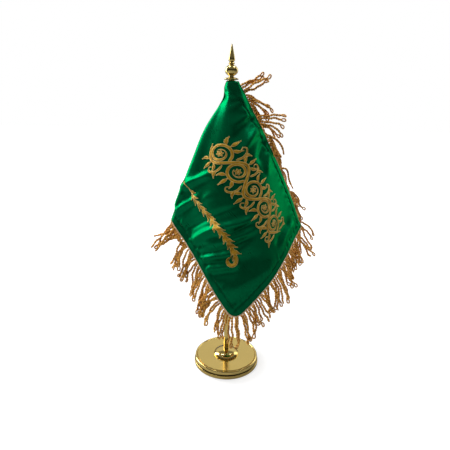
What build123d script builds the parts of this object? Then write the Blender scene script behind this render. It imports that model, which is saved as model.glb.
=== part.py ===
"""Desk flag stand: weighted round base, screwed pole and finial, fringed flag hung on a sleeve.

Units are millimetres. The origin is the centre of the base underside, on the pole axis, +Z up.
"""
import math
import os

from build123d import *

os.makedirs("parts", exist_ok=True)

# ---- driving dimensions -------------------------------------------------------------
BASE_R = 45.0            # flange radius of the base
BASE_TOP = 12.0          # height of the satin top face
PAD_T = 1.0              # felt pad thickness
FLANGE_TOP = 6.0         # top of the lower flange
GROOVE_TOP = 7.2         # top of the shadow groove above the flange
PLATE_R = 44.0
PLATE_ROUND = 2.0        # rolled edge of the top plate
PLATE_T = 2.2
SPIGOT_R = 41.0          # flange spigot inside the top plate
SPIGOT_BORE_R = 38.6
BUSH_R = 5.0             # threaded bush in the middle of the base
DOME_R = 17.3            # rounded dome round the foot of the pole
DOME_H = 7.0
DOME_FOOT = 0.4          # short upright edge where the dome meets the plate
POLE_R = 3.7             # pole tube
POLE_BORE_R = 2.7
POLE_FOOT = 15.0         # the pole stands on the bush, inside the dome
POLE_TOP = 380.0
STUD_R = 2.4             # thread drawn as a plain cylinder
STUD_CLEAR = 0.06
STUD_FOOT = 7.0          # the engaged thread runs from here to the pole foot
STUD_TOP = 24.0
FINIAL_STUD_R = 1.9
FINIAL_STUD_FOOT = 373.0
FINIAL_STUD_TOP = 388.0
HOIST = 168.0            # flag height along the pole
FLY = 222.0              # flag length
CLOTH_TOP = 379.5        # height the cloth fans out from
ROOT_R = 6.5             # radius of the ring the cloth leaves the sleeve on
ROOT_SHIFT = 1.3         # the ring sits a little to the side of the pole
ROOT_R0 = 9.0            # distance down the cloth where the flat layers start
FRINGE_L = 36.0
FRINGE_T = 2.4

# lean of the cloth at stations round the drape, as (sideways, fore-aft) over the drop
DRAPE = [
    (0.00, 0.00), (-0.17, 0.06), (-0.32, 0.06), (-0.39, 0.04), (-0.415, 0.01),
    (-0.33, -0.04), (-0.22, -0.08), (-0.12, -0.155), (-0.045, -0.225), (0.20, -0.125),
    (0.39, 0.13), (0.52, 0.31),
]


def drape_lean(s):
    """Lean at s from 0 (hoist) to 1 (top edge), through the stations of DRAPE."""
    last = len(DRAPE) - 1
    i = min(int(s * last), last - 1)
    f = s * last - i
    p = [DRAPE[max(0, min(last, i + k))] for k in (-1, 0, 1, 2)]
    w = (
        0.5 * (-f + 2 * f**2 - f**3),
        0.5 * (2 - 5 * f**2 + 3 * f**3),
        0.5 * (f + 4 * f**2 - 3 * f**3),
        0.5 * (-(f**2) + f**3),
    )
    return sum(a * q[0] for a, q in zip(w, p)), sum(a * q[1] for a, q in zip(w, p))


def unit_lean(s):
    """Unit direction the cloth hangs in at s."""
    x, y = drape_lean(s)
    return Vector(x, y, -1).normalized()


# the cloth is bent without stretching, so stations are found by the angle turned so far
STEPS = 600
RAY_STEP = 1.5
RAYS = [unit_lean(k / STEPS) for k in range(STEPS + 1)]
TURNED = [0.0]
for a, b in zip(RAYS, RAYS[1:]):
    TURNED.append(TURNED[-1] + (b - a).length)


def ray(angle):
    """Direction down the cloth at an angle in degrees from the hoist (0) to the top edge (90)."""
    want = TURNED[-1] * angle / 90
    k = min(max(sum(1 for t in TURNED if t <= want) - 1, 0), STEPS - 1)
    f = (want - TURNED[k]) / (TURNED[k + 1] - TURNED[k])
    return (RAYS[k] * (1 - f) + RAYS[k + 1] * f).normalized()


def cloth(angle, r):
    """Point of the cloth's middle surface: angle from the hoist, r from its top corner."""
    turn = math.radians(90 + 270 * angle / 90)
    root = Vector(ROOT_SHIFT + ROOT_R * math.cos(turn), ROOT_R * math.sin(turn), CLOTH_TOP)
    return root + ray(angle) * r


def across(angle, r):
    """Unit direction across the cloth, square to the ray, towards a larger angle."""
    low, high = max(angle - 0.5, 0), min(angle + 0.5, 90)
    step = cloth(high, r) - cloth(low, r)
    down = ray(angle)
    return (step - down * step.dot(down)).normalized()


def span_of(angle, u0, u1, v0, v1):
    """Where a ray enters and leaves the flat rectangle u0..u1 by v0..v1."""
    s, c = math.sin(math.radians(angle)), math.cos(math.radians(angle))
    near = max(v0 / max(c, 1e-9) if v0 else 0, u0 / max(s, 1e-9) if u0 else 0, ROOT_R0)
    far = min(v1 / max(c, 1e-9), u1 / max(s, 1e-9))
    return near, far


def patch(u0, u1, v0, v1, inside, outside):
    """A rectangle of the flat flag, draped, between two distances off the middle surface."""
    first = math.degrees(math.atan2(u0, v1))
    last = math.degrees(math.atan2(u1, v0))
    corners = [math.degrees(math.atan2(u1, v1))]
    if u0 and v0:
        corners.append(math.degrees(math.atan2(u0, v0)))
        first += 1.5
        last -= 1.5
    grid = [RAY_STEP * k for k in range(round(90 / RAY_STEP) + 1)]
    inner = [a for a in grid if first < a < last and min(abs(a - c) for c in corners) > 0.2]
    sections = []
    for angle in sorted([first, last] + corners + inner):
        near, far = span_of(angle, u0, u1, v0, v1)
        side = across(angle, 0.5 * (near + far))
        plane = Plane(origin=cloth(angle, near), x_dir=ray(angle), z_dir=side)
        with BuildSketch(plane) as section:
            with Locations(((far - near) / 2, -(inside + outside) / 2)):
                Rectangle(far - near, outside - inside)
        sections.append(section.sketch.face())
    loft(sections, ruled=True)


def turned(profile):
    """Revolve a closed (radius, height) outline about the pole axis."""
    with BuildSketch(Plane.XZ) as half:
        with BuildLine():
            Polyline(*profile, close=True)
        make_face()
    revolve(half.sketch, axis=Axis.Z)


def save(builder, label):
    """Name a finished piece and write it out."""
    builder.part.label = label
    export_step(builder.part, f"parts/{label}.step")


# ---- base ---------------------------------------------------------------------------
with BuildPart() as base_pad:
    Cylinder(BASE_R - 2.5, PAD_T, align=(Align.CENTER, Align.CENTER, Align.MIN))
save(base_pad, "base_pad")

with BuildPart() as base_flange:
    turned([
        (SPIGOT_BORE_R, PAD_T), (BASE_R - 0.8, PAD_T), (BASE_R, PAD_T + 1.2),
        (BASE_R, FLANGE_TOP - 1.2), (BASE_R - 0.5, FLANGE_TOP - 0.3),
        (BASE_R - 1.2, FLANGE_TOP), (PLATE_R - 1.6, FLANGE_TOP),
        (PLATE_R - 1.6, GROOVE_TOP), (SPIGOT_R, GROOVE_TOP),
        (SPIGOT_R, BASE_TOP - PLATE_T), (SPIGOT_BORE_R, BASE_TOP - PLATE_T),
    ])
save(base_flange, "base_flange")

with BuildPart() as base_plate:
    with BuildSketch(Plane.XZ):
        with BuildLine():
            Polyline(
                (PLATE_R, BASE_TOP - PLATE_ROUND), (PLATE_R, GROOVE_TOP),
                (SPIGOT_R, GROOVE_TOP), (SPIGOT_R, BASE_TOP - PLATE_T),
                (BUSH_R, BASE_TOP - PLATE_T), (BUSH_R, BASE_TOP),
                (PLATE_R - PLATE_ROUND, BASE_TOP),
            )
            RadiusArc(
                (PLATE_R - PLATE_ROUND, BASE_TOP), (PLATE_R, BASE_TOP - PLATE_ROUND),
                PLATE_ROUND,
            )
        make_face()
    revolve(axis=Axis.Z)
save(base_plate, "base_plate")

with BuildPart() as base_weight:
    turned([
        (BUSH_R + 0.3, PAD_T + 2.0), (9.3, PAD_T + 2.0), (9.3, PAD_T),
        (SPIGOT_BORE_R, PAD_T), (SPIGOT_BORE_R, BASE_TOP - PLATE_T - 1.0),
        (BUSH_R + 0.3, BASE_TOP - PLATE_T - 1.0),
    ])
save(base_weight, "base_weight")

with BuildPart() as base_bush:
    turned([
        (STUD_R + STUD_CLEAR, PAD_T + 1.0), (9.0, PAD_T + 1.0), (9.0, PAD_T + 2.0),
        (BUSH_R, PAD_T + 2.0), (BUSH_R, POLE_FOOT), (STUD_R + STUD_CLEAR, POLE_FOOT),
    ])
save(base_bush, "base_bush")

with BuildPart() as base_lock_ring:
    turned([
        (BUSH_R, BASE_TOP - PLATE_T - 1.0), (11.0, BASE_TOP - PLATE_T - 1.0),
        (11.0, BASE_TOP - PLATE_T), (BUSH_R, BASE_TOP - PLATE_T),
    ])
save(base_lock_ring, "base_lock_ring")

# the dome is a quarter ellipse turned round the pole, bored for the bush and, above it, for the pole
with BuildPart() as foot_dome:
    with BuildSketch(Plane.XZ):
        with BuildLine():
            Polyline((0, BASE_TOP + DOME_H), (0, BASE_TOP), (DOME_R, BASE_TOP),
                     (DOME_R, BASE_TOP + DOME_FOOT))
            EllipticalCenterArc((0, BASE_TOP + DOME_FOOT), DOME_R, DOME_H - DOME_FOOT,
                                arc_size=90)
        make_face()
    revolve(axis=Axis.Z)
    with Locations((0, 0, BASE_TOP)):
        Cylinder(BUSH_R, POLE_FOOT - BASE_TOP, mode=Mode.SUBTRACT,
                 align=(Align.CENTER, Align.CENTER, Align.MIN))
        Cylinder(POLE_R + 0.08, DOME_H, mode=Mode.SUBTRACT,
                 align=(Align.CENTER, Align.CENTER, Align.MIN))
save(foot_dome, "foot_dome")

# ---- pole ---------------------------------------------------------------------------
with BuildPart() as pole_stud:
    with Locations((0, 0, STUD_FOOT)):
        Cylinder(STUD_R, STUD_TOP - STUD_FOOT,
                 align=(Align.CENTER, Align.CENTER, Align.MIN))
    chamfer(pole_stud.edges(), 0.5)
save(pole_stud, "pole_stud")

with BuildPart() as pole_plug:
    turned([
        (STUD_R + STUD_CLEAR, POLE_FOOT + 0.05), (POLE_BORE_R + 0.3, POLE_FOOT + 0.05),
        (POLE_BORE_R + 0.3, STUD_TOP + 3), (0, STUD_TOP + 3), (0, STUD_TOP + 0.5),
        (STUD_R + STUD_CLEAR, STUD_TOP + 0.5),
    ])
save(pole_plug, "pole_plug")

with BuildPart() as pole_tube:
    turned([
        (POLE_BORE_R + 0.3, POLE_FOOT + 0.05), (POLE_R, POLE_FOOT + 0.05),
        (POLE_R, POLE_TOP), (POLE_BORE_R, POLE_TOP), (POLE_BORE_R, STUD_TOP + 3),
        (POLE_BORE_R + 0.3, STUD_TOP + 3),
    ])
save(pole_tube, "pole_tube")

with BuildPart() as pole_cap:
    turned([
        (FINIAL_STUD_R + STUD_CLEAR, FINIAL_STUD_FOOT - 1), (POLE_BORE_R, FINIAL_STUD_FOOT - 1),
        (POLE_BORE_R, POLE_TOP), (FINIAL_STUD_R + STUD_CLEAR, POLE_TOP),
    ])
save(pole_cap, "pole_cap")

# ---- finial, turned pieces stacked on one stud ----------------------------------------
DISC_TOP = POLE_TOP + 3.2
NECK_TOP = DISC_TOP + 1.8
BULB_MID = NECK_TOP + 5.7
BULB_TOP = BULB_MID + 5.7
BEAD_TOP = BULB_TOP + 3.4
SPEAR_BULGE = BEAD_TOP + 2.6
SPEAR_TIP = 419.5

with BuildPart() as finial_stud:
    with Locations((0, 0, FINIAL_STUD_FOOT)):
        Cylinder(FINIAL_STUD_R, FINIAL_STUD_TOP - FINIAL_STUD_FOOT,
                 align=(Align.CENTER, Align.CENTER, Align.MIN))
    chamfer(finial_stud.edges(), 0.4)
save(finial_stud, "finial_stud")

with BuildPart() as finial_disc:
    turned([
        (FINIAL_STUD_R + STUD_CLEAR, POLE_TOP + 0.05), (4.2, POLE_TOP + 0.05),
        (4.4, POLE_TOP + 0.9), (8.3, POLE_TOP + 0.5), (8.6, POLE_TOP + 0.9),
        (8.5, POLE_TOP + 1.5), (7.6, POLE_TOP + 2.1), (5.0, DISC_TOP - 0.3),
        (3.4, DISC_TOP), (FINIAL_STUD_R + STUD_CLEAR, DISC_TOP),
    ])
save(finial_disc, "finial_disc")

with BuildPart() as finial_neck:
    turned([
        (FINIAL_STUD_R + STUD_CLEAR, DISC_TOP), (3.4, DISC_TOP), (3.0, DISC_TOP + 0.7),
        (3.3, NECK_TOP), (FINIAL_STUD_R + STUD_CLEAR, NECK_TOP),
    ])
save(finial_neck, "finial_neck")

with BuildPart() as finial_bulb:
    with BuildSketch(Plane.XZ):
        with Locations((0, BULB_MID)):
            Ellipse(7.75, 6.3)
        with Locations((0, BULB_MID)):
            Rectangle(20, BULB_TOP - NECK_TOP, mode=Mode.INTERSECT)
        with Locations((-10, BULB_MID)):
            Rectangle(20, 20, mode=Mode.SUBTRACT)
        with Locations((0, (NECK_TOP + FINIAL_STUD_TOP) / 2)):
            Rectangle(2 * (FINIAL_STUD_R + STUD_CLEAR), FINIAL_STUD_TOP - NECK_TOP + 1,
                      mode=Mode.SUBTRACT)
    revolve(axis=Axis.Z)
save(finial_bulb, "finial_bulb")

with BuildPart() as finial_bead:
    turned([
        (0, BULB_TOP), (3.0, BULB_TOP), (2.4, BULB_TOP + 0.7), (3.4, BULB_TOP + 1.2),
        (3.9, BULB_TOP + 1.9), (3.4, BULB_TOP + 2.6), (2.2, BEAD_TOP), (0, BEAD_TOP),
    ])
save(finial_bead, "finial_bead")

with BuildPart() as finial_spear:
    with BuildSketch(Plane.XZ):
        with BuildLine():
            Polyline((0, SPEAR_TIP), (0, BEAD_TOP), (2.2, BEAD_TOP))
            Spline((2.2, BEAD_TOP), (3.9, SPEAR_BULGE), (2.7, SPEAR_BULGE + 7),
                   (1.3, SPEAR_TIP - 4), (0, SPEAR_TIP))
        make_face()
    revolve(axis=Axis.Z)
save(finial_spear, "finial_spear")

# ---- flag: sleeve, three cloth layers, braid, fringe, raised thread work ----------------
SLEEVE_BORE_R = 3.95
SLEEVE_R = 4.4
SLEEVE_TOP = 379.5
SLEEVE_FOOT = CLOTH_TOP - HOIST

with BuildPart() as flag_sleeve:
    turned([
        (SLEEVE_BORE_R, SLEEVE_FOOT), (SLEEVE_R, SLEEVE_FOOT),
        (SLEEVE_R, SLEEVE_TOP), (SLEEVE_BORE_R, SLEEVE_TOP),
    ])
save(flag_sleeve, "flag_sleeve")

with BuildPart() as flag_heading:
    with Locations((0, SLEEVE_R - 0.6, SLEEVE_FOOT)):
        Box(4, ROOT_R - 0.7 - SLEEVE_R + 0.6, HOIST - ROOT_R0,
            align=(Align.CENTER, Align.MIN, Align.MIN))
    with Locations((0, 0, SLEEVE_FOOT)):
        Cylinder(SLEEVE_R, HOIST, mode=Mode.SUBTRACT,
                 align=(Align.CENTER, Align.CENTER, Align.MIN))
save(flag_heading, "flag_heading")

LAYERS = {
    "flag_cloth_front": (0.2, 0.7),
    "flag_interlining": (-0.2, 0.2),
    "flag_cloth_back": (-0.7, -0.2),
}
for label, (low, high) in LAYERS.items():
    with BuildPart() as layer:
        patch(0, FLY, 0, HOIST, low, high)
    save(layer, label)

RAISED = {
    "embroidery_scroll": (45, 186, 30, 88),
    "embroidery_flourish": (58, 180, 110, 127),
}
for label, (u0, u1, v0, v1) in RAISED.items():
    with BuildPart() as raised:
        patch(u0, u1, v0, v1, 0.95, 1.8)
    save(raised, label)

CORNER = math.degrees(math.atan2(FLY, HOIST))
EDGE_STEPS = 18
DOWN = Vector(0, 0, -1)


def edge_station(edge, f):
    """Point on a free edge at fraction f, the way out in the cloth, and the hang of a strand."""
    if edge == "top":
        angle, r = 90.0, ROOT_R0 + (FLY - ROOT_R0) * f
    elif edge == "fly":
        angle = 90 - (90 - CORNER) * f
        r = FLY / math.sin(math.radians(angle))
    else:
        angle = CORNER * (1 - f)
        r = HOIST / math.cos(math.radians(angle))
    s, c = math.sin(math.radians(angle)), math.cos(math.radians(angle))
    down, side = ray(angle), across(angle, r)
    out = {"top": side, "fly": down * s + side * c, "bottom": down * c - side * s}[edge]
    sag = {"top": 0.15, "fly": 0.45, "bottom": 0.45}[edge]
    hang = (out * (1 - sag) + DOWN * sag).normalized()
    along = {"top": down, "fly": down * c - side * s, "bottom": down * s + side * c}[edge]
    return cloth(angle, r), out, hang, along


def edging(edge, start, length, thick, hanging):
    """A strip along a free edge: braid in the plane of the cloth, or strands as they hang."""
    sections = []
    for k in range(EDGE_STEPS + 1):
        point, out, hang, along = edge_station(edge, 0.01 + 0.98 * k / EDGE_STEPS)
        way = hang if hanging else out
        normal = (along - way * along.dot(way)).normalized()
        with BuildSketch(Plane(point + out * start, x_dir=way, z_dir=normal)) as section:
            with Locations((length / 2, 0)):
                Rectangle(length, thick)
        sections.append(section.sketch.face())
    loft(sections, ruled=True)


for edge in ("top", "fly", "bottom"):
    with BuildPart() as braid:
        edging(edge, 0.5, 2.2, 2.0, False)
    save(braid, f"braid_{edge}")
    with BuildPart() as fringe:
        edging(edge, 3.8, FRINGE_L, FRINGE_T, True)
    save(fringe, f"fringe_{edge}")
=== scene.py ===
"""Looks of the desk flag stand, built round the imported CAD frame. Metres, +Z up."""
import math

import bpy
import numpy as np
from mathutils import Matrix, Vector


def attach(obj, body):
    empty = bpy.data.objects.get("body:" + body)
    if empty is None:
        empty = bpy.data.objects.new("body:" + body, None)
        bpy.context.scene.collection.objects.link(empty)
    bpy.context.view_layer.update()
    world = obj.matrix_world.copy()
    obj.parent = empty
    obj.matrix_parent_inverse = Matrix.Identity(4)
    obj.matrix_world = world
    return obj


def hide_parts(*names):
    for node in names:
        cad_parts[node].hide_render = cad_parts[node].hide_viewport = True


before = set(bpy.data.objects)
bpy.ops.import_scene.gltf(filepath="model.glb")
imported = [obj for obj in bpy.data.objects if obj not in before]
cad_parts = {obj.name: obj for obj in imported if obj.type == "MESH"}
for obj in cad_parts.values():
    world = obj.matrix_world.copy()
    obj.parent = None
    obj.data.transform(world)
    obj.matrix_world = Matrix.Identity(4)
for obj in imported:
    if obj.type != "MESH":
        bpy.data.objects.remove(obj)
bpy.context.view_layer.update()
RNG = np.random.default_rng(7)
scene = bpy.context.scene
MM = 0.001

# ---- sizes of the cloth in metres -------------------------------------------------------
CLOTH_R0 = 0.001             # the cloth starts this far down from the ring round the sleeve
TOP_CORNER_R, LOW_CORNER_R = 0.004, 0.0125
HEM = 0.009                  # width of the turned hem
SLEEVE_BORE_R = 0.00398

# these repeat the CAD's own sizes
HOIST, FLY = 0.168, 0.222
CLOTH_TOP, ROOT_R, ROOT_SHIFT = 0.3795, 0.0065, 0.0013
SLEEVE_TOP, SLEEVE_FOOT, SLEEVE_R = 0.3795, 0.2115, 0.0044
# lean of the cloth at stations round the drape, as (sideways, fore-aft) over the drop
DRAPE = np.array([
    (0.00, 0.00), (-0.17, 0.06), (-0.32, 0.06), (-0.39, 0.04), (-0.415, 0.01),
    (-0.33, -0.04), (-0.22, -0.08), (-0.12, -0.155), (-0.045, -0.225), (0.20, -0.125),
    (0.39, 0.13), (0.52, 0.31),
])


# ---- the drape: straight rays that fan out from a ring round the pole --------------------
def catmull(points, s):
    """Catmull-Rom curve through rows of points at s from 0 to 1."""
    last = len(points) - 1
    i = np.minimum((s * last).astype(int), last - 1)
    f = (s * last - i)[:, None]
    p = [points[np.clip(i + k, 0, last)] for k in (-1, 0, 1, 2)]
    return (0.5 * (-f + 2 * f**2 - f**3) * p[0] + 0.5 * (2 - 5 * f**2 + 3 * f**3) * p[1]
            + 0.5 * (f + 4 * f**2 - 3 * f**3) * p[2] + 0.5 * (-(f**2) + f**3) * p[3])


def unit(v):
    """Rows of vectors scaled to length one."""
    return v / np.maximum(np.linalg.norm(v, axis=-1, keepdims=True), 1e-12)


LEANS = catmull(DRAPE, np.linspace(0, 1, 1201))
RAYS = unit(np.column_stack([LEANS, -np.ones(len(LEANS))]))
TURNED = np.r_[0, np.cumsum(np.linalg.norm(np.diff(RAYS, axis=0), axis=1))]
TURNED *= 90 / TURNED[-1]


def softened(turned, rays):
    """Even out the bends of the drape: lightly at the left fold, more across the front."""
    even = np.linspace(0, 90, 721)
    rays = np.stack([np.interp(even, turned, rays[:, k]) for k in range(3)], -1)
    spread = 1.3 + 3.6 * np.clip((even - 28) / 8, 0, 1) * np.clip((90 - even) / 14, 0, 1)
    spread = np.minimum(spread, 0.3 + even / 6)
    weight = np.exp(-0.5 * ((even[:, None] - even[None]) / spread[:, None])**2)
    return even, unit(weight @ rays / weight.sum(1, keepdims=True))


TURNED, RAYS = softened(TURNED, RAYS)


def ray(angle):
    """Direction down the cloth at an angle in degrees from the hoist (0) to the top edge (90)."""
    return unit(np.stack([np.interp(angle, TURNED, RAYS[:, k]) for k in range(3)], -1))


def cone(angle, r):
    """Point of the smooth drape: r down the ray that leaves the ring at this angle."""
    turn = np.radians(90 + 3 * np.asarray(angle))
    root = np.stack([ROOT_SHIFT + ROOT_R * np.cos(turn), ROOT_R * np.sin(turn),
                     CLOTH_TOP + 0 * turn], -1)
    return root + ray(angle) * np.asarray(r)[..., None]


def polar(u, v):
    """Angle from the hoist in degrees, and distance, of a flat place (u, v)."""
    return np.degrees(np.arctan2(u, v)), np.hypot(u, v)


def frame_at(u, v):
    """Middle-surface point, the ways of growing u and v in the cloth, and the outward normal."""
    angle, r = polar(u, v)
    step = 0.4
    low, high = np.maximum(angle - step, 0), np.minimum(angle + step, 90)
    down = ray(angle)
    side = cone(high, r) - cone(low, r)
    side = unit(side - down * (side * down).sum(-1, keepdims=True))
    s, c = np.sin(np.radians(angle))[..., None], np.cos(np.radians(angle))[..., None]
    return cone(angle, r), down * s + side * c, down * c - side * s, np.cross(down, side)


def smooth(x, low, high):
    """Ease from 0 at low to 1 at high."""
    t = np.clip((x - low) / (high - low), 0, 1)
    return t * t * (3 - 2 * t)


def reach(angle, inset=0.0):
    """Distance from the flag's top corner to its rounded outline, along an angle in the cloth."""
    s, c = np.sin(np.radians(angle)), np.cos(np.radians(angle))
    wide, tall = FLY - inset, HOIST - inset
    far = np.minimum(tall / np.maximum(c, 1e-9), wide / np.maximum(s, 1e-9))
    u, v = far * s, far * c
    for radius, cu, cv, inside in (
            (LOW_CORNER_R, wide - LOW_CORNER_R, tall - LOW_CORNER_R, v > tall - LOW_CORNER_R),
            (TOP_CORNER_R, wide - TOP_CORNER_R, TOP_CORNER_R, v < TOP_CORNER_R)):
        along = s * cu + c * cv
        bend = along + np.sqrt(np.maximum(along**2 - cu**2 - cv**2 + radius**2, 0))
        far = np.where(inside & (u > cu), bend, far)
    return far


# soft folds on the flat flag, in mm: both ends (u, v), half width, height (a valley is negative);
# every height and every width is then scaled by the two values below
FOLD_GAIN, FOLD_SHARP = 1.7, 1.25
FOLDS = (
    (70, 82, 60, 132, 5.5, 2.3), (60, 130, 70, 153, 5.0, 1.6), (79, 112, 77, 158, 5.0, 1.9),
    (92, 92, 92, 158, 6.0, 0.9), (115, 86, 106, 158, 5.0, -1.5),
    (137, 78, 121, 160, 5.2, 2.9), (142, 88, 128, 158, 3.6, -1.6),
    (150, 84, 134, 152, 4.6, 2.2), (155, 96, 140, 158, 4.0, -1.8),
    (160, 116, 145, 160, 4.6, 2.1), (164, 122, 151, 160, 3.8, -1.6),
    (172, 124, 158, 160, 4.8, 2.4), (178, 132, 166, 162, 5.0, -1.2),
    (57, 5, 74, 44, 5.5, 2.0), (46, 6, 58, 40, 6.0, -1.6), (36, 6, 44, 30, 4.5, 0.9),
    (80, 4, 92, 32, 6.5, -1.2), (96, 3, 110, 30, 7.0, 1.1), (20, 4, 27, 22, 3.5, 0.5),
    (205, 20, 200, 66, 7.0, 1.3), (196, 24, 190, 70, 7.0, -1.1),
    (186, 100, 168, 150, 13.0, -1.2), (204, 90, 196, 156, 11.0, 1.3),
)
WAVES = RNG.normal(size=(9, 2)) * 0.085         # slow unevenness of the whole cloth
WAVE_PHASE = RNG.uniform(0, 6.3, 9)
PUCKERS = ((5.3, 0.6), (7.9, 0.8), (11.7, 0.7), (19.0, 0.8))   # wavelength, share
PUCKER_PHASE = RNG.uniform(0, 6.3, (3, len(PUCKERS)))


def pucker(x, row):
    """Uneven wave along a hem, at x in mm; each of the three hems has its own phases."""
    return sum(share * np.sin(6.283 * x / length + PUCKER_PHASE[row, k] + 1.3 * np.sin(x / 17 + k))
               for k, (length, share) in enumerate(PUCKERS))


def relief(u, v):
    """Height of the billow, soft folds and hems off the smooth drape, at flat place (u, v)."""
    angle, r = polar(u, v)
    t = np.clip((r - 0.009) / (reach(angle) - 0.009), 0, 1)
    u, v = u / MM, v / MM
    h = 4.5 * np.sin(np.pi * t)**1.4 * np.clip((angle - 8) / 14, 0, 1)
    h = h - (6.4 * np.exp(-((angle - 26) / np.where(angle < 26, 14, 25))**2 - (r / MM / 36)**2)
             * smooth(r / MM, 2, 20))
    for u0, v0, u1, v1, width, height in FOLDS:
        length = math.hypot(u1 - u0, v1 - v0)
        du, dv = (u1 - u0) / length, (v1 - v0) / length
        along = ((u - u0) * du + (v - v0) * dv) / length
        aside = (u - u0) * dv - (v - v0) * du + 0.06 * length * np.sin(3 * along + width)
        ends = smooth(np.minimum(along, 1 - along), -0.14, 0.22)
        h = h + FOLD_GAIN * height * np.exp(-(FOLD_SHARP * aside / width)**2) * ends
    for (a, b), phase in zip(WAVES, WAVE_PHASE):
        h = h + 0.16 * np.sin(a * u + b * v + phase)
    hem = HEM / MM
    edges = (v, FLY / MM - u, HOIST / MM - v)
    for row, (d, x, strength) in enumerate(zip(edges, (u, v, u), (0.42, 0.22, 0.40))):
        if row == 0:
            strength = strength * smooth(u, 8, 22)
        h = h + strength * np.exp(-((d - hem - 1.5) / 4.5)**2) * pucker(x + 0.25 * d, row)
        h = h - 0.42 * np.exp(-((d - hem) / 1.1)**2)
    h = h + 0.35 * (1 - smooth(np.minimum(np.minimum(*edges[:2]), edges[2]), hem - 1, hem + 0.6))
    return h * smooth(u, 0, 9) * smooth(r / MM, 0, 14) * MM


LOW_CORNER_PULL = np.array((-0.0012, 0.0, -0.0076))   # the free corner hangs a little lower


def cloth(u, v, off=0.0):
    """Point of the folded cloth at flat place (u, v), lifted by off along the outward normal."""
    p, _, _, n = frame_at(u, v)
    pull = np.exp(-((FLY - u)**2 + (HOIST - v)**2) / 0.055**2)[..., None] * LOW_CORNER_PULL
    return p + pull + n * (relief(u, v) + off)[..., None]


# ---- mesh helpers -----------------------------------------------------------------------
def mesh_object(name, verts, faces, uv=None):
    """A smooth-shaded mesh object in the scene.
    uv is one row for each vertex, or one for each corner of each face."""
    mesh = bpy.data.meshes.new(name)
    mesh.from_pydata([tuple(p) for p in verts], [], [tuple(map(int, f)) for f in faces])
    if uv is not None:
        uv = np.asarray(uv, dtype=np.float32)
        if len(uv) != len(mesh.loops):
            loops = np.empty(len(mesh.loops), dtype=np.int32)
            mesh.loops.foreach_get("vertex_index", loops)
            uv = uv[loops]
        mesh.uv_layers.new(name="UVMap").data.foreach_set("uv", uv.ravel())
    mesh.polygons.foreach_set("use_smooth", [True] * len(mesh.polygons))
    mesh.update()
    ob = bpy.data.objects.new(name, mesh)
    scene.collection.objects.link(ob)
    return ob


def grid_faces(rows, cols, wrap_cols=False):
    """Four-sided faces over a grid of points, closed across its columns if they wrap."""
    i, j = np.meshgrid(np.arange(rows - 1), np.arange(cols if wrap_cols else cols - 1),
                       indexing="ij")
    a = i * cols + j
    b = i * cols + (j + 1) % cols
    return np.stack([a, b, b + cols, a + cols], -1).reshape(-1, 4)


def rounded(profile, radius, steps=5):
    """Round the inner corners of an open (r, z) outline."""
    pts = [np.array(p, float) for p in profile]
    out = [pts[0]]
    for a, b, c in zip(pts, pts[1:], pts[2:]):
        cut = min(radius, 0.45 * np.linalg.norm(b - a), 0.45 * np.linalg.norm(c - b))
        p = b + (a - b) / np.linalg.norm(a - b) * cut
        q = b + (c - b) / np.linalg.norm(c - b) * cut
        for t in np.linspace(0, 1, steps):
            out.append((1 - t)**2 * p + 2 * t * (1 - t) * b + t**2 * q)
    out.append(pts[-1])
    return np.array(out)


def lathe(name, profile, segments=160, sharp=40):
    """Turn an outline of (r, z) in mm about the pole axis."""
    prof = np.asarray(profile) * MM
    turn = np.linspace(0, 2 * np.pi, segments, endpoint=False)
    ring = np.stack([np.cos(turn), np.sin(turn)], -1)
    verts, index = [], []
    for r, z in prof:
        if r < 1e-7:
            index.append(np.full(segments, len(verts)))
            verts.append((0, 0, z))
        else:
            index.append(np.arange(segments) + len(verts))
            verts += [(r * x, r * y, z) for x, y in ring]
    faces = []
    for a, b in zip(index, index[1:]):
        for k in range(segments):
            m = (k + 1) % segments
            face = list(dict.fromkeys([a[k], a[m], b[m], b[k]]))
            if len(face) > 2:
                faces.append(face)
    ob = mesh_object(name, verts, faces)
    ob.data.set_sharp_from_angle(angle=math.radians(sharp))
    return ob


START_HINT = (0.3, 0.9, 0.31)     # any direction that no path starts along


def carried(path):
    """Tangents along a path and a normal carried along it without twisting."""
    tangent = unit(np.gradient(path, axis=0))
    normal = np.cross(tangent[0], START_HINT)
    normals = np.empty_like(path)
    for k, t in enumerate(tangent):
        normal = normal - t * (normal @ t)
        normal = normal / math.sqrt(normal @ normal)
        normals[k] = normal
    return tangent, normals, np.cross(tangent, normals)


def lengths(path):
    """Length along a path at each of its points."""
    return np.r_[0, np.cumsum(np.linalg.norm(np.diff(path, axis=0), axis=1))]


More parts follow.
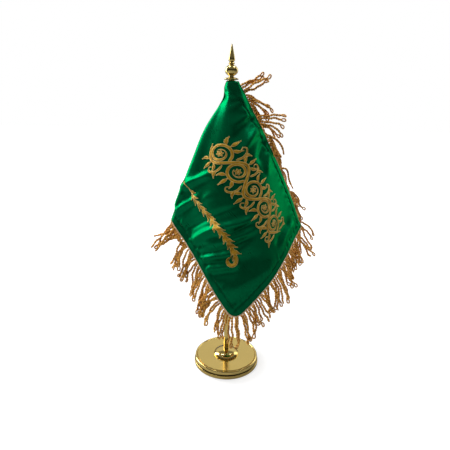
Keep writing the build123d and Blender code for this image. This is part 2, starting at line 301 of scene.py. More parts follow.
class Bundle:
    """Collects many small closed tubes into one object."""

    def __init__(self):
        self.verts, self.faces, self.uv, self.count = [], [], [], 0

    def rings(self, rings, along):
        """Close a row of rings of points into a tube; uv is (mm along it, turns round it)."""
        rows, sides = rings.shape[:2]
        faces = grid_faces(rows, sides, wrap_cols=True) + self.count
        i, j = np.meshgrid(np.arange(rows - 1), np.arange(sides), indexing="ij")
        low, high, left, right = along[i] / MM, along[i + 1] / MM, j / sides, (j + 1) / sides
        uv = np.stack([np.stack([low, left], -1), np.stack([low, right], -1),
                       np.stack([high, right], -1), np.stack([high, left], -1)], 2)
        self.faces += faces.tolist()
        self.uv.append(uv.reshape(-1, 2))
        first = list(range(self.count, self.count + sides))[::-1]
        last = list(range(self.count + (rows - 1) * sides, self.count + rows * sides))
        self.faces += [first, last]
        self.uv.append(np.tile((along[0] / MM, 0.5), (sides, 1)))
        self.uv.append(np.tile((along[-1] / MM, 0.5), (sides, 1)))
        self.verts.append(rings.reshape(-1, 3))
        self.count += rows * sides

    def tube(self, path, radius, sides=6):
        """A closed round tube along a path; radius is one value or one for each point."""
        _, normal, side = carried(path)
        turn = np.linspace(0, 2 * np.pi, sides, endpoint=False)
        radius = np.broadcast_to(radius, (len(path),))[:, None, None]
        rings = path[:, None] + radius * (np.cos(turn)[None, :, None] * normal[:, None]
                                          + np.sin(turn)[None, :, None] * side[:, None])
        self.rings(rings, lengths(path))

    def build(self, name):
        return mesh_object(name, np.concatenate(self.verts), self.faces,
                           uv=np.concatenate(self.uv))


# ---- materials --------------------------------------------------------------------------
def material(name, **inputs):
    """A new Principled material with its sockets set; gives the material, tree and shader."""
    m = bpy.data.materials.new(name)
    m.use_nodes = True
    shader = m.node_tree.nodes["Principled BSDF"]
    for key, value in inputs.items():
        shader.inputs[key.replace("_", " ")].default_value = value
    return m, m.node_tree, shader


def node(tree, kind, links=(), **values):
    """A new node with its settings or sockets set and (socket, source) pairs linked in."""
    n = tree.nodes.new(kind)
    for key, value in values.items():
        if hasattr(n, key):
            setattr(n, key, value)
        else:
            n.inputs[key.replace("_", " ")].default_value = value
    for socket, source in links:
        tree.links.new(source, n.inputs[socket])
    return n


def ramp(tree, source, *stops):
    """Output of a colour ramp with (position, colour) stops."""
    n = tree.nodes.new("ShaderNodeValToRGB")
    while len(n.color_ramp.elements) < len(stops):
        n.color_ramp.elements.new(0.5)
    for e, (pos, colour) in zip(n.color_ramp.elements, stops):
        e.position = pos
        e.color = (*colour, 1)
    tree.links.new(source, n.inputs[0])
    return n.outputs[0]


def math_node(tree, op, a, b=None):
    n = tree.nodes.new("ShaderNodeMath")
    n.operation = op
    for socket, value in zip(n.inputs, (a, b)):
        if value is None:
            continue
        if isinstance(value, (int, float)):
            socket.default_value = value
        else:
            tree.links.new(value, socket)
    return n.outputs[0]


def bump(tree, shader, height, strength, distance):
    n = node(tree, "ShaderNodeBump", [("Height", height)], Strength=strength, Distance=distance)
    tree.links.new(n.outputs[0], shader.inputs["Normal"])


def gold(name, base, rough, worn, grooves=0.0, aniso=0.0, shade_band=None):
    """Lacquered gold metal: slight colour drift, soft smudges, fine turned grooves.
    The optional band of heights (low, high) in metres is painted dark: painted shade in the groove
    between the plate and the flange."""
    m, t, s = material(name, Metallic=1.0, Base_Color=(*base, 1), Anisotropic=aniso)
    place = t.nodes.new("ShaderNodeTexCoord").outputs["Object"]
    cloud = node(t, "ShaderNodeTexNoise", [("Vector", place)], Scale=55, Detail=4)
    dust = node(t, "ShaderNodeTexNoise", [("Vector", place)], Scale=900, Detail=3)
    colour = ramp(t, cloud.outputs[0], (0.3, tuple(0.93 * c for c in base)), (0.7, base))
    # painted shade: darken a band of heights where the groove between plate and flange lies in shadow
    if shade_band:
        height = t.nodes.new("ShaderNodeSeparateXYZ")
        t.links.new(place, height.inputs[0])
        middle, half = sum(shade_band) / 2, (shade_band[1] - shade_band[0]) / 2
        away = math_node(t, "ABSOLUTE", math_node(t, "SUBTRACT", height.outputs[2], middle))
        groove_shade = ramp(t, math_node(t, "MULTIPLY", away, 0.5 / half), (0.40, (0.06,) * 3),
                     (0.62, (1.0,) * 3))
        colour = node(t, "ShaderNodeVectorMath", [(0, colour), (1, groove_shade)],
                      operation="MULTIPLY").outputs[0]
    t.links.new(colour, s.inputs["Base Color"])
    mixed = math_node(t, "ADD", math_node(t, "MULTIPLY", cloud.outputs[0], 0.7),
                      math_node(t, "MULTIPLY", dust.outputs[0], 0.3))
    low, high = (rough,) * 3, (rough + worn,) * 3
    t.links.new(ramp(t, mixed, (0.35, low), (0.7, high)), s.inputs["Roughness"])
    if grooves:
        split = t.nodes.new("ShaderNodeSeparateXYZ")
        t.links.new(place, split.inputs[0])
        flat = node(t, "ShaderNodeCombineXYZ", [("X", split.outputs[0]), ("Y", split.outputs[1])])
        radius = node(t, "ShaderNodeVectorMath", [("Vector", flat.outputs[0])],
                      operation="LENGTH").outputs["Value"]
        line = node(t, "ShaderNodeCombineXYZ", [("X", radius)])
        fine = node(t, "ShaderNodeTexNoise", [("Vector", line.outputs[0])], Scale=6000, Detail=2)
        bump(t, s, fine.outputs[0], grooves, 0.00002)
        tangent = node(t, "ShaderNodeTangent", direction_type="RADIAL", axis="Z")
        t.links.new(tangent.outputs[0], s.inputs["Tangent"])
    return m


def dress(ob, mat, body, slot, *nodes):
    """Give a finished piece its material and the body it rides on, and hide the CAD nodes it stands in
    for.
    """
    ob.data.materials.clear()
    ob.data.materials.append(mat)
    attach(ob, body)
    if nodes:
        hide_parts(*nodes)
    return ob


GOLD = gold("polished_gold", (0.80, 0.60, 0.20), 0.09, 0.10)
# painted shade: the finial's gold is a darker copy of the polished gold
FINIAL_GOLD_SHADED = gold("finial_gold", (0.66, 0.51, 0.18), 0.09, 0.10)
# painted shade: the flange is a darker copy of the polished gold, and a band of it by the groove is
# painted darker still
FLANGE_GOLD_SHADED = gold("flange_gold", (0.74, 0.54, 0.17), 0.14, 0.10, grooves=0.12, aniso=0.3,
                 shade_band=(0.0059, 0.0073))
GOLD_SATIN = gold("satin_gold", (0.79, 0.585, 0.185), 0.17, 0.06, grooves=0.10, aniso=0.4)
STEEL = gold("machined_steel", (0.55, 0.56, 0.58), 0.28, 0.15)

felt, t, s = material("felt", Base_Color=(0.01, 0.03, 0.02, 1), Roughness=0.95)
cloud = node(t, "ShaderNodeTexNoise", Scale=1500, Detail=4)
bump(t, s, cloud.outputs[0], 0.6, 0.0004)
t.links.new(ramp(t, cloud.outputs[0], (0.3, (0.008, 0.022, 0.015)), (0.7, (0.02, 0.05, 0.035))),
            s.inputs["Base Color"])

# satin: dark green ground, green-tinted gloss, fine weave
satin, t, s = material("green_satin", Base_Color=(0.0, 0.14, 0.05, 1), Metallic=0.74,
                       Specular_IOR_Level=0.0, Specular_Tint=(0.0, 1.0, 0.5, 1),
                       Anisotropic=0.45, Sheen_Weight=0.06, Sheen_Roughness=0.4,
                       Sheen_Tint=(0.0, 0.6, 0.28, 1))
flat = t.nodes.new("ShaderNodeUVMap").outputs[0]
weft = node(t, "ShaderNodeTexWave", [("Vector", flat)], bands_direction="X", Scale=420)
warp = node(t, "ShaderNodeTexWave", [("Vector", flat)], bands_direction="Y", Scale=420)
slub = node(t, "ShaderNodeTexNoise", [("Vector", flat)], Scale=70, Detail=5)
streaks = node(t, "ShaderNodeMapping", [("Vector", flat)], Scale=(60, 900, 1))
streaks = node(t, "ShaderNodeTexNoise", [("Vector", streaks.outputs[0])], Scale=1, Detail=3)
weave = math_node(t, "ADD", weft.outputs["Fac"], warp.outputs["Fac"])
weave = math_node(t, "ADD", weave, math_node(t, "MULTIPLY", streaks.outputs[0], 1.5))
bump(t, s, weave, 0.22, 0.00005)
patchy = math_node(t, "ADD", math_node(t, "MULTIPLY", slub.outputs[0], 0.6),
                   math_node(t, "MULTIPLY", streaks.outputs[0], 0.4))
t.links.new(ramp(t, patchy, (0.3, (0.0, 0.125, 0.043)), (0.75, (0.0, 0.16, 0.056))),
            s.inputs["Base Color"])
t.links.new(ramp(t, patchy, (0.3, (0.26,) * 3), (0.7, (0.33,) * 3)), s.inputs["Roughness"])
tangent = node(t, "ShaderNodeTangent", direction_type="UV_MAP", uv_map="UVMap")
t.links.new(tangent.outputs[0], s.inputs["Tangent"])


def thread(name, dark, light, rough, metal, twist, across, depth, ply=None):
    """Wound metallic thread: slanted lines round each cord, darkened in the grooves between windings as
    painted shade, with a little colour drift.
    A twisted cord also has a slow light and dark band for each ply, painted shading where the plies
    turn."""
    m, t, s = material(name, Metallic=metal, Specular_Tint=(1.0, 0.75, 0.4, 1))
    place = t.nodes.new("ShaderNodeTexCoord").outputs["Object"]
    drift = node(t, "ShaderNodeTexNoise", [("Vector", place)], Scale=140, Detail=4)
    split = t.nodes.new("ShaderNodeSeparateXYZ")
    t.links.new(t.nodes.new("ShaderNodeUVMap").outputs[0], split.inputs[0])
    slant = math_node(t, "ADD", math_node(t, "MULTIPLY", split.outputs[0], 6.2832 / twist),
                      math_node(t, "MULTIPLY", split.outputs[1], 6.2832 * across))
    line = math_node(t, "MULTIPLY", math_node(t, "ADD", math_node(t, "SINE", slant), 1.0), 0.5)
    bump(t, s, line, 0.8, depth)
    # the colour tone adds painted shade in the winding grooves to the colour drift
    drift_and_shade = math_node(t, "ADD", math_node(t, "MULTIPLY", drift.outputs[0], 0.75),
                     math_node(t, "MULTIPLY", line, 0.28))
    if ply:
        # painted shading: a light and dark band for each turn of the plies
        turn = math_node(t, "ADD", math_node(t, "MULTIPLY", split.outputs[0], 6.2832 / ply),
                         math_node(t, "MULTIPLY", split.outputs[1], 6.2832))
        ply_shade = math_node(t, "SINE", turn)
        drift_and_shade = math_node(t, "ADD", drift_and_shade, math_node(t, "MULTIPLY", ply_shade, 0.19))
    t.links.new(ramp(t, drift_and_shade, (0.34, dark), (0.68, light)), s.inputs["Base Color"])
    t.links.new(ramp(t, drift.outputs[0], (0.3, (rough,) * 3), (0.7, (rough + 0.12,) * 3)),
                s.inputs["Roughness"])
    return m


CORD = thread("bullion_cord", (0.34, 0.105, 0.010), (1.0, 0.56, 0.13), 0.34, 0.25, 1.0, 1,
              0.00018, ply=3.6)
BRAID = thread("braid_cord", (0.62, 0.40, 0.22), (0.95, 0.72, 0.50), 0.42, 0.2, 0.8, 1, 0.00015)
STITCH = thread("raised_thread", (0.28, 0.14, 0.008), (0.66, 0.38, 0.04), 0.34, 0.45, 0.55, 0,
                0.00014)
OUTLINE = thread("outline_cord", (0.50, 0.33, 0.08), (0.82, 0.60, 0.22), 0.34, 0.5, 0.9, 1,
                 0.00014)
GREEN_THREAD = thread("green_thread", (0.0, 0.05, 0.02), (0.005, 0.12, 0.05), 0.5, 0.1, 0.5, 1,
                      0.00008)

# ---- base, dome, pole: outlines of (r, z) in mm -------------------------------------------
BASE_R, BASE_TOP, PLATE_FOOT, GROOVE_TOP, PAD_T = 45.0, 12.0, 9.8, 7.2, 1.0
BUSH_R, SPIGOT_R, RIM_IN = 5.0, 41.0, 40.85
DOME_R, DOME_H, DOME_FOOT, DOME_BORE_R = 17.3, 7.0, 0.4, 3.78
POLE_R, POLE_BORE_R, POLE_FOOT, POLE_TOP = 3.7, 2.7, 15.05, 380.0

plate = rounded([(BUSH_R, PLATE_FOOT), (40.8, PLATE_FOOT), (40.8, 11.86), (40.3, 11.97),
                 (36.0, BASE_TOP), (BUSH_R, BASE_TOP), (BUSH_R, PLATE_FOOT)], 0.1)
dress(lathe("top_plate", plate, 256, 50), GOLD_SATIN, "stand", "satin_gold", "base_plate")
rim = np.concatenate([
    rounded([(RIM_IN, 11.4), (RIM_IN, PLATE_FOOT), (SPIGOT_R, 7.25), (43.9, GROOVE_TOP),
             (44.0, 9.9)], 0.3),
    [(42.45 + 1.55 * math.cos(a), 10.42 + 1.58 * math.sin(a)) for a in np.linspace(0, 3.0, 24)],
    [(40.88, 11.1), (RIM_IN, 11.4)]])
rim[:, 0] = np.maximum(rim[:, 0], RIM_IN)
dress(lathe("plate_rim", rim, 256, 50), GOLD, "stand", "polished_gold")
flange = rounded([(38.6, PAD_T), (BASE_R, PAD_T), (BASE_R, 6.0), (42.4, 6.0), (42.4, GROOVE_TOP),
                  (SPIGOT_R, GROOVE_TOP), (SPIGOT_R, PLATE_FOOT), (38.6, PLATE_FOOT),
                  (38.6, PAD_T)], 1.1, 7)
dress(lathe("lower_flange", flange, 256), FLANGE_GOLD_SHADED, "stand", "polished_gold", "base_flange")

dome = [(DOME_R * math.cos(a), BASE_TOP + DOME_FOOT + (DOME_H - DOME_FOOT) * math.sin(a))
        for a in np.linspace(0, math.acos(DOME_BORE_R / DOME_R), 56)]
dome = ([(BUSH_R, BASE_TOP), (17.1, BASE_TOP)] + dome
        + [(DOME_BORE_R, 17.0), (BUSH_R, 17.0), (BUSH_R, BASE_TOP)])
dress(lathe("foot_dome_polished", dome, 256), GOLD, "stand", "polished_gold", "foot_dome")

pole = rounded([(POLE_BORE_R, 27.0), (3.0, 27.0), (3.0, POLE_FOOT), (POLE_R, POLE_FOOT),
                (POLE_R, POLE_TOP), (POLE_BORE_R, POLE_TOP), (POLE_BORE_R, 27.0)], 0.25)
pole = np.concatenate([pole[:16], [(POLE_R, z) for z in np.linspace(20, 375, 40)], pole[16:]])
dress(lathe("pole_tube_polished", pole, 96), GOLD, "pole", "polished_gold", "pole_tube")

# ---- finial -----------------------------------------------------------------------------
SOCKET_R, DISC_TOP, NECK_TOP, BULB_TOP, BEAD_TOP = 1.96, 383.2, 385.0, 396.4, 399.8
BULB_R, BULB_HALF, BULB_MID, BULB_CUT = 7.75, 6.3, 390.7, 5.7     # cut flat this far off its middle

disc = rounded([(SOCKET_R, 380.05), (4.2, 380.05), (4.4, 380.9), (8.2, 380.5), (8.6, 380.9),
                (8.5, 381.5), (7.6, 382.1), (5.0, 382.9), (3.4, DISC_TOP),
                (SOCKET_R, DISC_TOP)], 0.5)
neck = rounded([(SOCKET_R, DISC_TOP), (3.4, DISC_TOP), (3.0, 383.9), (3.3, NECK_TOP),
                (SOCKET_R, NECK_TOP)], 0.4)
end = math.acos(BULB_CUT / BULB_HALF)
bulb = [(BULB_R * math.sin(a), BULB_MID - BULB_HALF * math.cos(a))
        for a in np.linspace(end, math.pi - end, 48)]
bulb = [(SOCKET_R, NECK_TOP)] + bulb + [(0.0, BULB_TOP)]
bead = rounded([(0, BULB_TOP), (3.0, BULB_TOP), (2.4, 397.1), (3.4, 397.6), (3.9, 398.3),
                (3.4, 399.0), (2.2, BEAD_TOP), (0, BEAD_TOP)], 0.5)
spear = np.array([(0, BEAD_TOP), (2.2, BEAD_TOP), (2.9, 400.4), (3.6, 401.3), (3.9, 402.4), (3.7, 404.2),
                  (3.15, 407.0), (2.5, 410.0), (1.85, 413.0), (1.2, 416.0), (0.75, 418.0),
                  (0.5, 418.9), (0.25, 419.35), (0, 419.5)])
for name, outline, cad in (("finial_skirt_disc", disc, "finial_disc"),
                           ("finial_collar", neck, "finial_neck"),
                           ("finial_ball", bulb, "finial_bulb"),
                           ("finial_small_bead", bead, "finial_bead")):
    dress(lathe(name, outline, 128), FINIAL_GOLD_SHADED, "finial", "polished_gold", cad)
spear = catmull(spear, np.linspace(0, 1, 90))
dress(lathe("finial_spear_tip", np.maximum(spear, 0), 96), FINIAL_GOLD_SHADED, "finial", "polished_gold",
      "finial_spear")

# ---- cloth ------------------------------------------------------------------------------
RAY_COUNT = 300
LAYER_OFF, LAYER_T = 0.00045, 0.0004      # distance off the middle surface, and thickness


def cloth_sheet(name, off, front):
    """One layer of the flag: rings of points round the top corner, fine along the hem."""
    angle = np.linspace(0, 90, RAY_COUNT)
    seam, far = reach(angle, HEM) - 0.003, reach(angle)
    inner = np.linspace(0, 1, 106)[:, None] * (seam - CLOTH_R0) + CLOTH_R0
    outer = seam + np.linspace(0, 1, 14)[1:, None] * (far - seam)
    r = np.concatenate([inner, outer])
    u, v = r * np.sin(np.radians(angle)), r * np.cos(np.radians(angle))
    verts = cloth(u, v, off + 0 * u).reshape(-1, 3)
    faces = grid_faces(len(r), RAY_COUNT)
    if not front:
        faces = faces[:, ::-1]
    ob = mesh_object(name, verts, faces, uv=np.stack([u, v], -1).reshape(-1, 2))
    mod = ob.modifiers.new("thickness", "SOLIDIFY")
    mod.thickness, mod.offset = LAYER_T, 0
    return ob


front = cloth_sheet("flag_satin_front", LAYER_OFF, True)
back = cloth_sheet("flag_satin_back", -LAYER_OFF, False)
dress(front, satin, "flag", "green_satin", "flag_cloth_front", "flag_interlining")
dress(back, satin, "flag", "green_satin", "flag_cloth_back")

# the sleeve is gathered a little round the pole, with soft upright creases
SLEEVE_SIDES = 84
turn, rise = np.meshgrid(np.linspace(0, 2 * np.pi, SLEEVE_SIDES, endpoint=False),
                         np.linspace(SLEEVE_TOP, SLEEVE_FOOT, 120), indexing="xy")
crease = (np.sin(5 * turn + 40 * rise) + 0.8 * np.sin(9 * turn - 70 * rise + 1)
          + 0.5 * np.sin(14 * turn + 2 + 30 * rise))
ruffle = 0.0004 * np.exp(-((rise - SLEEVE_TOP) / 0.003)**2) * (1 + 0.6 * np.sin(11 * turn))
outer = SLEEVE_R + 0.00013 * crease + ruffle
inner = SLEEVE_BORE_R + 0 * outer
radius = np.concatenate([inner[:1], outer, inner[::-1]])
rise = np.concatenate([rise[:1], rise, rise[::-1]])
turn = np.concatenate([turn[:1], turn, turn])
ring = np.stack([radius * np.cos(turn), radius * np.sin(turn), rise], -1)
sleeve = mesh_object("flag_sleeve_gathered", ring.reshape(-1, 3),
                     grid_faces(len(ring), SLEEVE_SIDES, wrap_cols=True)[:, ::-1],
                     uv=np.stack([turn * SLEEVE_R, SLEEVE_TOP - rise], -1).reshape(-1, 2))
dress(sleeve, satin, "flag", "green_satin", "flag_sleeve")

# heading tape between the sleeve and the back of the cloth
tape = Bundle()
rise = np.linspace(SLEEVE_TOP - 0.010, SLEEVE_FOOT + 0.0005, 90)
turn = np.linspace(0, 2 * np.pi, 16, endpoint=False)
wide = 0.0016 + 0.00015 * np.sin(rise * 900)
square_cos, square_sin = (np.sign(w) * abs(w)**0.5 for w in (np.cos(turn), np.sin(turn)))
rings = np.stack([wide[:, None] * square_cos, 0.0050 + 0.0009 * square_sin + 0 * rise[:, None],
                  rise[:, None] + 0 * turn], -1)
tape.rings(rings, SLEEVE_TOP - rise)
tape = dress(tape.build("heading_tape"), satin, "flag", "green_satin", "flag_heading")

# ---- the free edge, from the top corner round to the foot of the hoist --------------------
def outline():
    """Points along the flag's free outline in the flat, with the way out at each."""
    runs = [((s, 0), (0, -1)) for s in np.arange(0.006, FLY - TOP_CORNER_R, 0.0005)]
    for cu, cv, radius, start in ((FLY - TOP_CORNER_R, TOP_CORNER_R, TOP_CORNER_R, -90),
                                  (FLY - LOW_CORNER_R, HOIST - LOW_CORNER_R, LOW_CORNER_R, 0)):
        if start == 0:
            runs += [((FLY, s), (1, 0))
                     for s in np.arange(TOP_CORNER_R, HOIST - LOW_CORNER_R, 0.0005)]
        for a in np.radians(np.linspace(start, start + 90, 19)):
            runs.append(((cu + radius * math.cos(a), cv + radius * math.sin(a)),
                         (math.cos(a), math.sin(a))))
    runs += [((s, HOIST), (0, 1)) for s in np.arange(FLY - LOW_CORNER_R, 0.002, -0.0005)]
    return np.array([p for p, _ in runs]), np.array([o for _, o in runs], float)


RIM, RIM_OUT = outline()
RIM_S = lengths(RIM)
CORNER_S = (FLY - 0.006 - 0.5 * TOP_CORNER_R, FLY + HOIST - 0.012 - 0.5 * LOW_CORNER_R)
EDGES = {"top": (0.0, CORNER_S[0]), "fly": CORNER_S, "bottom": (CORNER_S[1], RIM_S[-1])}


def rim_at(s, inset=0.0, off=0.0):
    """Points along the free edge, the way out of the cloth and its outward normal."""
    flat, out = (np.stack([np.interp(s, RIM_S, rows[:, k]) for k in (0, 1)], -1)
                 for rows in (RIM, RIM_OUT))
    u, v = np.maximum(flat - inset * unit(out), 0).T
    _, way_u, way_v, normal = frame_at(u, v)
    return cloth(u, v, off + 0 * u), unit(out[:, :1] * way_u + out[:, 1:] * way_v), normal


pieces = [tape]
for edge, (low, high) in EDGES.items():
    # flat plait of three fine cords along the edge
    plait = Bundle()
    s = np.arange(low, high, 0.0004)
    point, out, normal = rim_at(s)
    for k in range(3):
        a = 2 * np.pi * (s / 0.0052 + k / 3)
        plait.tube(point + out * (0.0010 + 0.0007 * np.sin(a))[:, None]
                   + normal * (0.00045 * np.sin(2 * a))[:, None], 0.00042)
    pieces.append(dress(plait.build(f"braid_{edge}_plaited"), BRAID, "flag", "gold_braid",
                        f"braid_{edge}"))

# ---- fringe: each strand is one cord folded at its end and twisted on itself ---------------
STRAND_PITCH, PLY_PITCH = 0.0030, 0.0072
PLY_OFF, PLY_R, EYE, EYE_R = 0.00070, 0.00090, 0.0046, 0.0017
STRAND_STEPS = 42
DOWN = np.array((0.0, 0.0, -1.0))


def twisted_strand(bundle, line, phase):
    """One cord laid down a line, round a small eye at its end, and back, twisted on itself."""
    tangent, normal, side = carried(line)
    s = lengths(line)
    open_at = s[-1] - EYE
    turn = (2 * np.pi * np.minimum(s, open_at) / PLY_PITCH + phase)[:, None]
    wide = (PLY_OFF + (EYE_R - PLY_OFF) * smooth(s, open_at, open_at + 0.0026))[:, None]
    lateral = np.cos(turn) * normal + np.sin(turn) * side
    a = np.linspace(0, np.pi, 7)[1:-1, None]
    eye = line[-1] + EYE_R * (np.cos(a) * lateral[-1] + np.sin(a) * tangent[-1])
    bundle.tube(np.concatenate([line + lateral * wide, eye, (line - lateral * wide)[::-1]]), PLY_R)


# how each edge's strands hang at places along it: place (0 to 1), droop, lean off the cloth's face
HANG = {
    "top": ((0.0, 0.10, 0.9), (0.10, 0.50, 0.7), (0.25, 0.74, 0.5), (0.42, 0.88, 0.3),
            (0.6, 0.90, 0.2), (0.85, 0.72, 0.2), (1.0, 0.40, 0.0)),
    "fly": ((0.0, 0.28, 0.1), (0.25, 0.50, 0.1), (0.6, 0.70, 0.1), (1.0, 0.92, 0.0)),
    "bottom": ((0.0, 0.92, 0.0), (0.25, 0.72, 0.0), (0.45, 0.55, 0.0), (0.60, 0.28, 0.0),
               (0.72, 0.28, 0.0), (1.0, 0.5, 0.0)),
}


def fringe(edge):
    """The strands along one edge, in clumps of two to five that lean together."""
    low, high = EDGES[edge]
    hang = np.array(HANG[edge])
    bundle = Bundle()
    s = np.arange(low + 0.001, high, STRAND_PITCH)
    s = s + RNG.uniform(-0.0008, 0.0008, len(s))
    point, out, normal = rim_at(s)
    along = unit(np.gradient(point, axis=0))
    left, clump = 0, None
    f = np.linspace(0, 1, STRAND_STEPS)[:, None]
    bent = f**(0.30 if edge == "top" else 0.45)
    for k in range(len(s)):
        if left == 0:
            left = int(RNG.integers(2, 6))
            clump = RNG.normal(0, (0.22, 0.22, 0.16))
            if RNG.random() < 0.07:
                clump[2] = -0.5
        left -= 1
        place = (s[k] - low) / (high - low)
        lean = clump[:2] + RNG.normal(0, 0.12, 2)
        droop = np.clip(np.interp(place, hang[:, 0], hang[:, 1]) + clump[2]
                        + RNG.normal(0, 0.06), 0, 0.97)
        face = np.interp(place, hang[:, 0], hang[:, 2])
        start = unit(out[k] * (1 - 0.4 * face) + along[k] * lean[0] + normal[k] * (lean[1] + face))
        end = unit(start * (1 - droop) + DOWN * droop)
        length, swing = RNG.uniform(0.034, 0.042), RNG.uniform(0, 1, 3)
        way = (start * (1 - bent) + end * bent
               + 0.20 * np.sin(2 * np.pi * (f * 1.2 + swing[0])) * along[k] * (0.3 + f)
               + 0.20 * np.sin(2 * np.pi * (f * 1.0 + swing[1])) * normal[k] * (0.3 + f)
               + 0.24 * np.sin(2 * np.pi * (f * 2.7 + swing[1])) * along[k] * smooth(f, 0, 0.3))
        line = (point[k] + out[k] * 0.0014 + normal[k] * RNG.uniform(-0.0004, 0.0004)
                + np.cumsum(unit(way), axis=0) * length / STRAND_STEPS)
        twisted_strand(bundle, line, 6.3 * swing[2])
    return dress(bundle.build(f"fringe_{edge}_strands"), CORD, "flag", "gold_fringe",
                 f"fringe_{edge}")


pieces += [fringe(edge) for edge in ("top", "fly", "bottom")]

# ---- hem stitching -----------------------------------------------------------------------
stitches = Bundle()
for edge, (low, high) in EDGES.items():
    for s in np.arange(low + 0.012, high - (0.002 if edge == "bottom" else 0.010), 0.0031):
        point, _, normal = rim_at(s + np.linspace(0, 0.0021, 5), HEM, 0.00062)
        arch = 0.00022 * np.sin(np.linspace(0, np.pi, 5))[:, None]
        stitches.tube(point + normal * arch, 0.00014, 5)
pieces.append(dress(stitches.build("hem_stitching"), GREEN_THREAD, "flag", "green_satin"))

# ---- raised thread work: a leafy scroll, and a long sprig below it -------------------------
# flat places are (u, v) in mm: u along the flag from the pole, v down from the top edge


def stroke(work, cords, points, width, ends=(0.25, 0.25), lift=1.0):
    """A padded stroke along points, with a fine cord laid down each side."""
    points = np.array(points, float)
    coarse = catmull(points, np.linspace(0, 1, 40 * len(points)))
    run = lengths(coarse)
    count = max(int(run[-1] / 0.9), 7)
    s = np.linspace(0, run[-1], count)
    flat = np.stack([np.interp(s, run, coarse[:, k]) for k in (0, 1)], -1)
    way = unit(np.gradient(flat, axis=0))
    aside = np.stack([-way[:, 1], way[:, 0]], -1)
    f = s / run[-1]
    taper = smooth(f, -0.01, ends[0]) * smooth(1 - f, -0.01, ends[1])
    half = 0.5 * width * np.clip(taper, 0.12, 1)
    x = np.linspace(-1, 1, 9)
    height = 0.62 + lift * 0.85 * np.sqrt(1 - 0.93 * x**2) * np.minimum(half / 1.2, 1)[:, None]
    place = flat[:, None] + aside[:, None] * (half[:, None] * x)[..., None]
    top = cloth(place[..., 0] * MM, place[..., 1] * MM, height * MM)
    foot = cloth(place[:, ::-8, 0] * MM, place[:, ::-8, 1] * MM, 0.5 * MM + 0 * place[:, ::-8, 0])
    work.rings(np.concatenate([top, foot], axis=1), s * MM)
    for side in (-1, 1):
        edge = flat + aside * (side * (half + 0.12))[:, None]
        cords.tube(cloth(edge[:, 0] * MM, edge[:, 1] * MM, 0.92 * MM + 0 * s), 0.00036, 6)


def spiral(cu, cv, radius, start, turns, inner):
    """Points winding in from radius to inner about (cu, cv); turns is signed."""
    count = int(abs(turns) * 10) + 1
    k = np.linspace(0, 1, count)
    a = np.radians(start) + 2 * np.pi * turns * k
    r = radius + (inner - radius) * k**0.85
    return np.stack([cu + r * np.cos(a), cv + r * np.sin(a)], -1)


def leaf(work, cords, u, v, heading, length, width, bend):
    """A pointed leaf from (u, v), heading in degrees from +u towards +v."""
    a = math.radians(heading)
    du, dv = math.cos(a), math.sin(a)
    points = [(u + du * f * length - dv * bend * length * math.sin(math.pi * f),
               v + dv * f * length + du * bend * length * math.sin(math.pi * f))
              for f in np.linspace(0, 1, 6)]
    stroke(work, cords, points, width, (0.42, 0.62))


def flower(work, cords, u, v, size, turn):
    """Six short leaves round (u, v)."""
    for k in range(6):
        leaf(work, cords, u, v, turn + 60 * k, size, size * 0.60, 0.0)


work, cords = Bundle(), Bundle()
STEM_WAVE, STEM_MID, STEM_SWING, STEM_START = 54.0, 60.0, 12.5, 47.0
stem_u = np.linspace(STEM_START - 1, STEM_START + 2.62 * STEM_WAVE, 40)
stem_v = STEM_MID + STEM_SWING * np.sin(2 * np.pi * (stem_u - STEM_START) / STEM_WAVE)
stroke(work, cords, np.stack([stem_u, stem_v], -1), 2.5, (0.05, 0.10))
for k in range(5):
    cu, down = STEM_START + STEM_WAVE * (0.25 + 0.5 * k), 1 if k % 2 == 0 else -1
    stroke(work, cords, spiral(cu, STEM_MID, 12.6, 0, -1.45 * down, 4.6), 2.3, (0.04, 0.35))
    flower(work, cords, cu, STEM_MID, 3.9, 20 * k)
    for way, base in ((down, STEM_SWING + 1.4), (-down, 12.0)):
        for aside, size in ((0, 13.0), (-38, 11.0), (38, 11.0)):
            leaf(work, cords, cu + aside * 0.085, STEM_MID + way * (base - abs(aside) * 0.03),
                 way * (90 - aside), size, 3.3, -0.16 * way * np.sign(aside))
    # a tendril with a small curl in each gap between the spirals
    for way in (-1, 1):
        root_u = cu + 13.5 - way * down * 1.5
        stroke(work, cords, [(root_u, STEM_MID + way * 7), (root_u + 1.5, STEM_MID + way * 14),
                             (root_u - 0.5, STEM_MID + way * 20.5),
                             (root_u - 5, STEM_MID + way * 23), (root_u - 8, STEM_MID + way * 20.5),
                             (root_u - 6.4, STEM_MID + way * 17.6)], 1.7, (0.1, 0.45))
        leaf(work, cords, root_u + 1.2, STEM_MID + way * 16, way * 58, 9.5, 2.9, 0.16 * way)
pieces.append(dress(work.build("scroll_raised_work"), STITCH, "flag", "gold_thread",
                    "embroidery_scroll"))
pieces.append(dress(cords.build("scroll_outline_cord"), OUTLINE, "flag", "gold_thread"))

work, cords = Bundle(), Bundle()
SPRIG_START, SPRIG_LONG = 56.0, 108.0


def sprig_v(u):
    """Height of the sprig's stem at u, both in mm."""
    f = (u - SPRIG_START) / SPRIG_LONG
    return 117.5 + 2.2 * np.sin(6.283 * f) + 5.0 * f**3


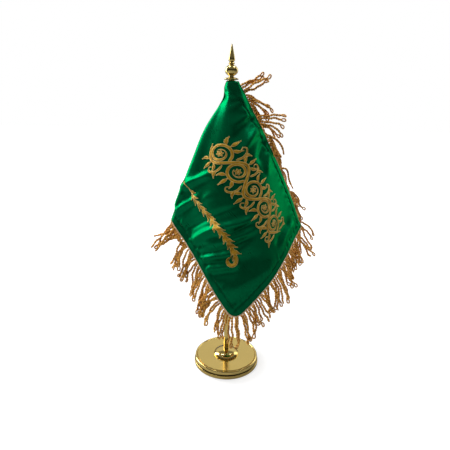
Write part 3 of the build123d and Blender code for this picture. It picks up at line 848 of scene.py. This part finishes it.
sprig_u = np.linspace(SPRIG_START, SPRIG_START + SPRIG_LONG, 22)
stroke(work, cords, np.concatenate([np.stack([sprig_u, sprig_v(sprig_u)], -1),
                                    spiral(165.5, 129.6, 6.6, -68, 1.1, 2.0)]), 3.4,
       (0.55, 0.10), 1.15)
for u in np.linspace(70, 158, 12):
    f = (u - SPRIG_START) / SPRIG_LONG
    for side in (-1, 1):
        leaf(work, cords, u + 2.2 * side, sprig_v(u) + side * (0.5 + 1.0 * f),
             side * 27 + 8 * f, 8.5 + 3.0 * f, 2.3 + 1.3 * f, -0.13 * side)
pieces.append(dress(work.build("sprig_raised_work"), STITCH, "flag", "gold_thread",
                    "embroidery_flourish"))
pieces.append(dress(cords.build("sprig_outline_cord"), OUTLINE, "flag", "gold_thread"))

# ---- CAD nodes that stay ----------------------------------------------------------------
for names, mat in ((("base_pad",), felt),
                   (("base_weight", "base_bush", "base_lock_ring", "pole_stud", "pole_plug",
                     "pole_cap", "finial_stud"), STEEL)):
    for name in names:
        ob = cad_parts[name]
        ob.data.materials.clear()
        ob.data.materials.append(mat)

# ---- floor, light, camera ---------------------------------------------------------------
floor = mesh_object("floor", [(-9, -9, 0), (9, -9, 0), (9, 9, 0), (-9, 9, 0)], [(0, 1, 2, 3)])
floor_mat, t, s = material("pale_floor", Base_Color=(0.42, 0.42, 0.42, 1), Roughness=0.8,
                           Emission_Color=(1, 1, 1, 1))
away = node(t, "ShaderNodeVectorMath", [("Vector", t.nodes.new("ShaderNodeTexCoord").outputs[3])],
            operation="LENGTH").outputs["Value"]
glow = ramp(t, math_node(t, "MULTIPLY", away, 0.5), (0.06, (0.66,) * 3), (0.55, (1.0,) * 3))
seen = t.nodes.new("ShaderNodeLightPath").outputs["Is Camera Ray"]
t.links.new(math_node(t, "MULTIPLY", glow, seen), s.inputs["Emission Strength"])
floor.data.materials.append(floor_mat)


def softbox(name, place, size, power, long=(0, 0, 1), aim=(0, 0, 0.2)):
    """A rectangular light facing aim; the second size runs along the direction called long."""
    light = bpy.data.lights.new(name, "AREA")
    light.shape, light.size, light.size_y = "RECTANGLE", *size
    light.energy = power
    back = (Vector(place) - Vector(aim)).normalized()
    across = Vector(long).cross(back).normalized()
    ob = bpy.data.objects.new(name, light)
    ob.matrix_world = (Matrix.Translation(place)
                       @ Matrix((across, back.cross(across), back)).transposed().to_4x4())
    scene.collection.objects.link(ob)
    return ob


softbox("softbox_left", (-1.16, 0.60, 0.70), (0.50, 1.3), 20)
softbox("softbox_right", (1.08, 0.75, 0.60), (0.60, 1.2), 4.0)
softbox("overhead_left", (-0.42, 0.14, 1.5), (0.30, 0.65), 5, long=(0, 1, 0))
softbox("overhead_right", (0.55, 0.20, 1.4), (0.30, 0.65), 4, long=(0, 1, 0))
softbox("back_panel", (0, 1.7, 1.0), (3.2, 1.2), 6.3)
fill = softbox("front_fill", (-0.8, -1.0, 1.6), (0.5, 0.4), 17)
fill.visible_glossy = False             # it lifts the cloth and cords and leaves the metal dark

# the room lights the object softly; what the camera sees past the floor is plain white
world = bpy.data.worlds.new("studio")
scene.world = world
world.use_nodes = True
wt = world.node_tree
room = wt.nodes["Background"]
room.inputs["Strength"].default_value = 1.0
up = wt.nodes.new("ShaderNodeSeparateXYZ")
wt.links.new(wt.nodes.new("ShaderNodeTexCoord").outputs["Generated"], up.inputs[0])
wt.links.new(ramp(wt, math_node(wt, "ADD", math_node(wt, "MULTIPLY", up.outputs[2], 0.5), 0.5),
                  (0.50, (0.015,) * 3), (0.62, (0.03,) * 3), (0.80, (0.20,) * 3),
                  (1.0, (0.24,) * 3)), room.inputs["Color"])
white = wt.nodes.new("ShaderNodeBackground")
white.inputs["Color"].default_value = (1, 1, 1, 1)
mix = wt.nodes.new("ShaderNodeMixShader")
wt.links.new(wt.nodes.new("ShaderNodeLightPath").outputs["Is Camera Ray"], mix.inputs[0])
wt.links.new(room.outputs[0], mix.inputs[1])
wt.links.new(white.outputs[0], mix.inputs[2])
wt.links.new(mix.outputs[0], wt.nodes["World Output"].inputs[0])

scene.view_settings.view_transform = "Standard"

FOCAL_PIXELS, FRAME_PIXELS, SENSOR = 385.2, 450, 36
CAMERA_PLACE, LOOKS_DOWN, ROLL = (-0.0047, -0.4822, 0.3408), 15.97, 0.94      # metres, degrees
camera = bpy.data.cameras.new("camera")
camera.sensor_width, camera.lens = SENSOR, FOCAL_PIXELS / FRAME_PIXELS * SENSOR
camera.clip_start, camera.clip_end = 0.01, 30
camera_ob = bpy.data.objects.new("camera", camera)
pitch, roll = math.radians(90 - LOOKS_DOWN), math.radians(ROLL)
camera_ob.matrix_world = (Matrix.Translation(CAMERA_PLACE)
                          @ Matrix.Rotation(pitch, 4, "X") @ Matrix.Rotation(roll, 4, "Z"))
scene.collection.objects.link(camera_ob)
scene.camera = camera_ob
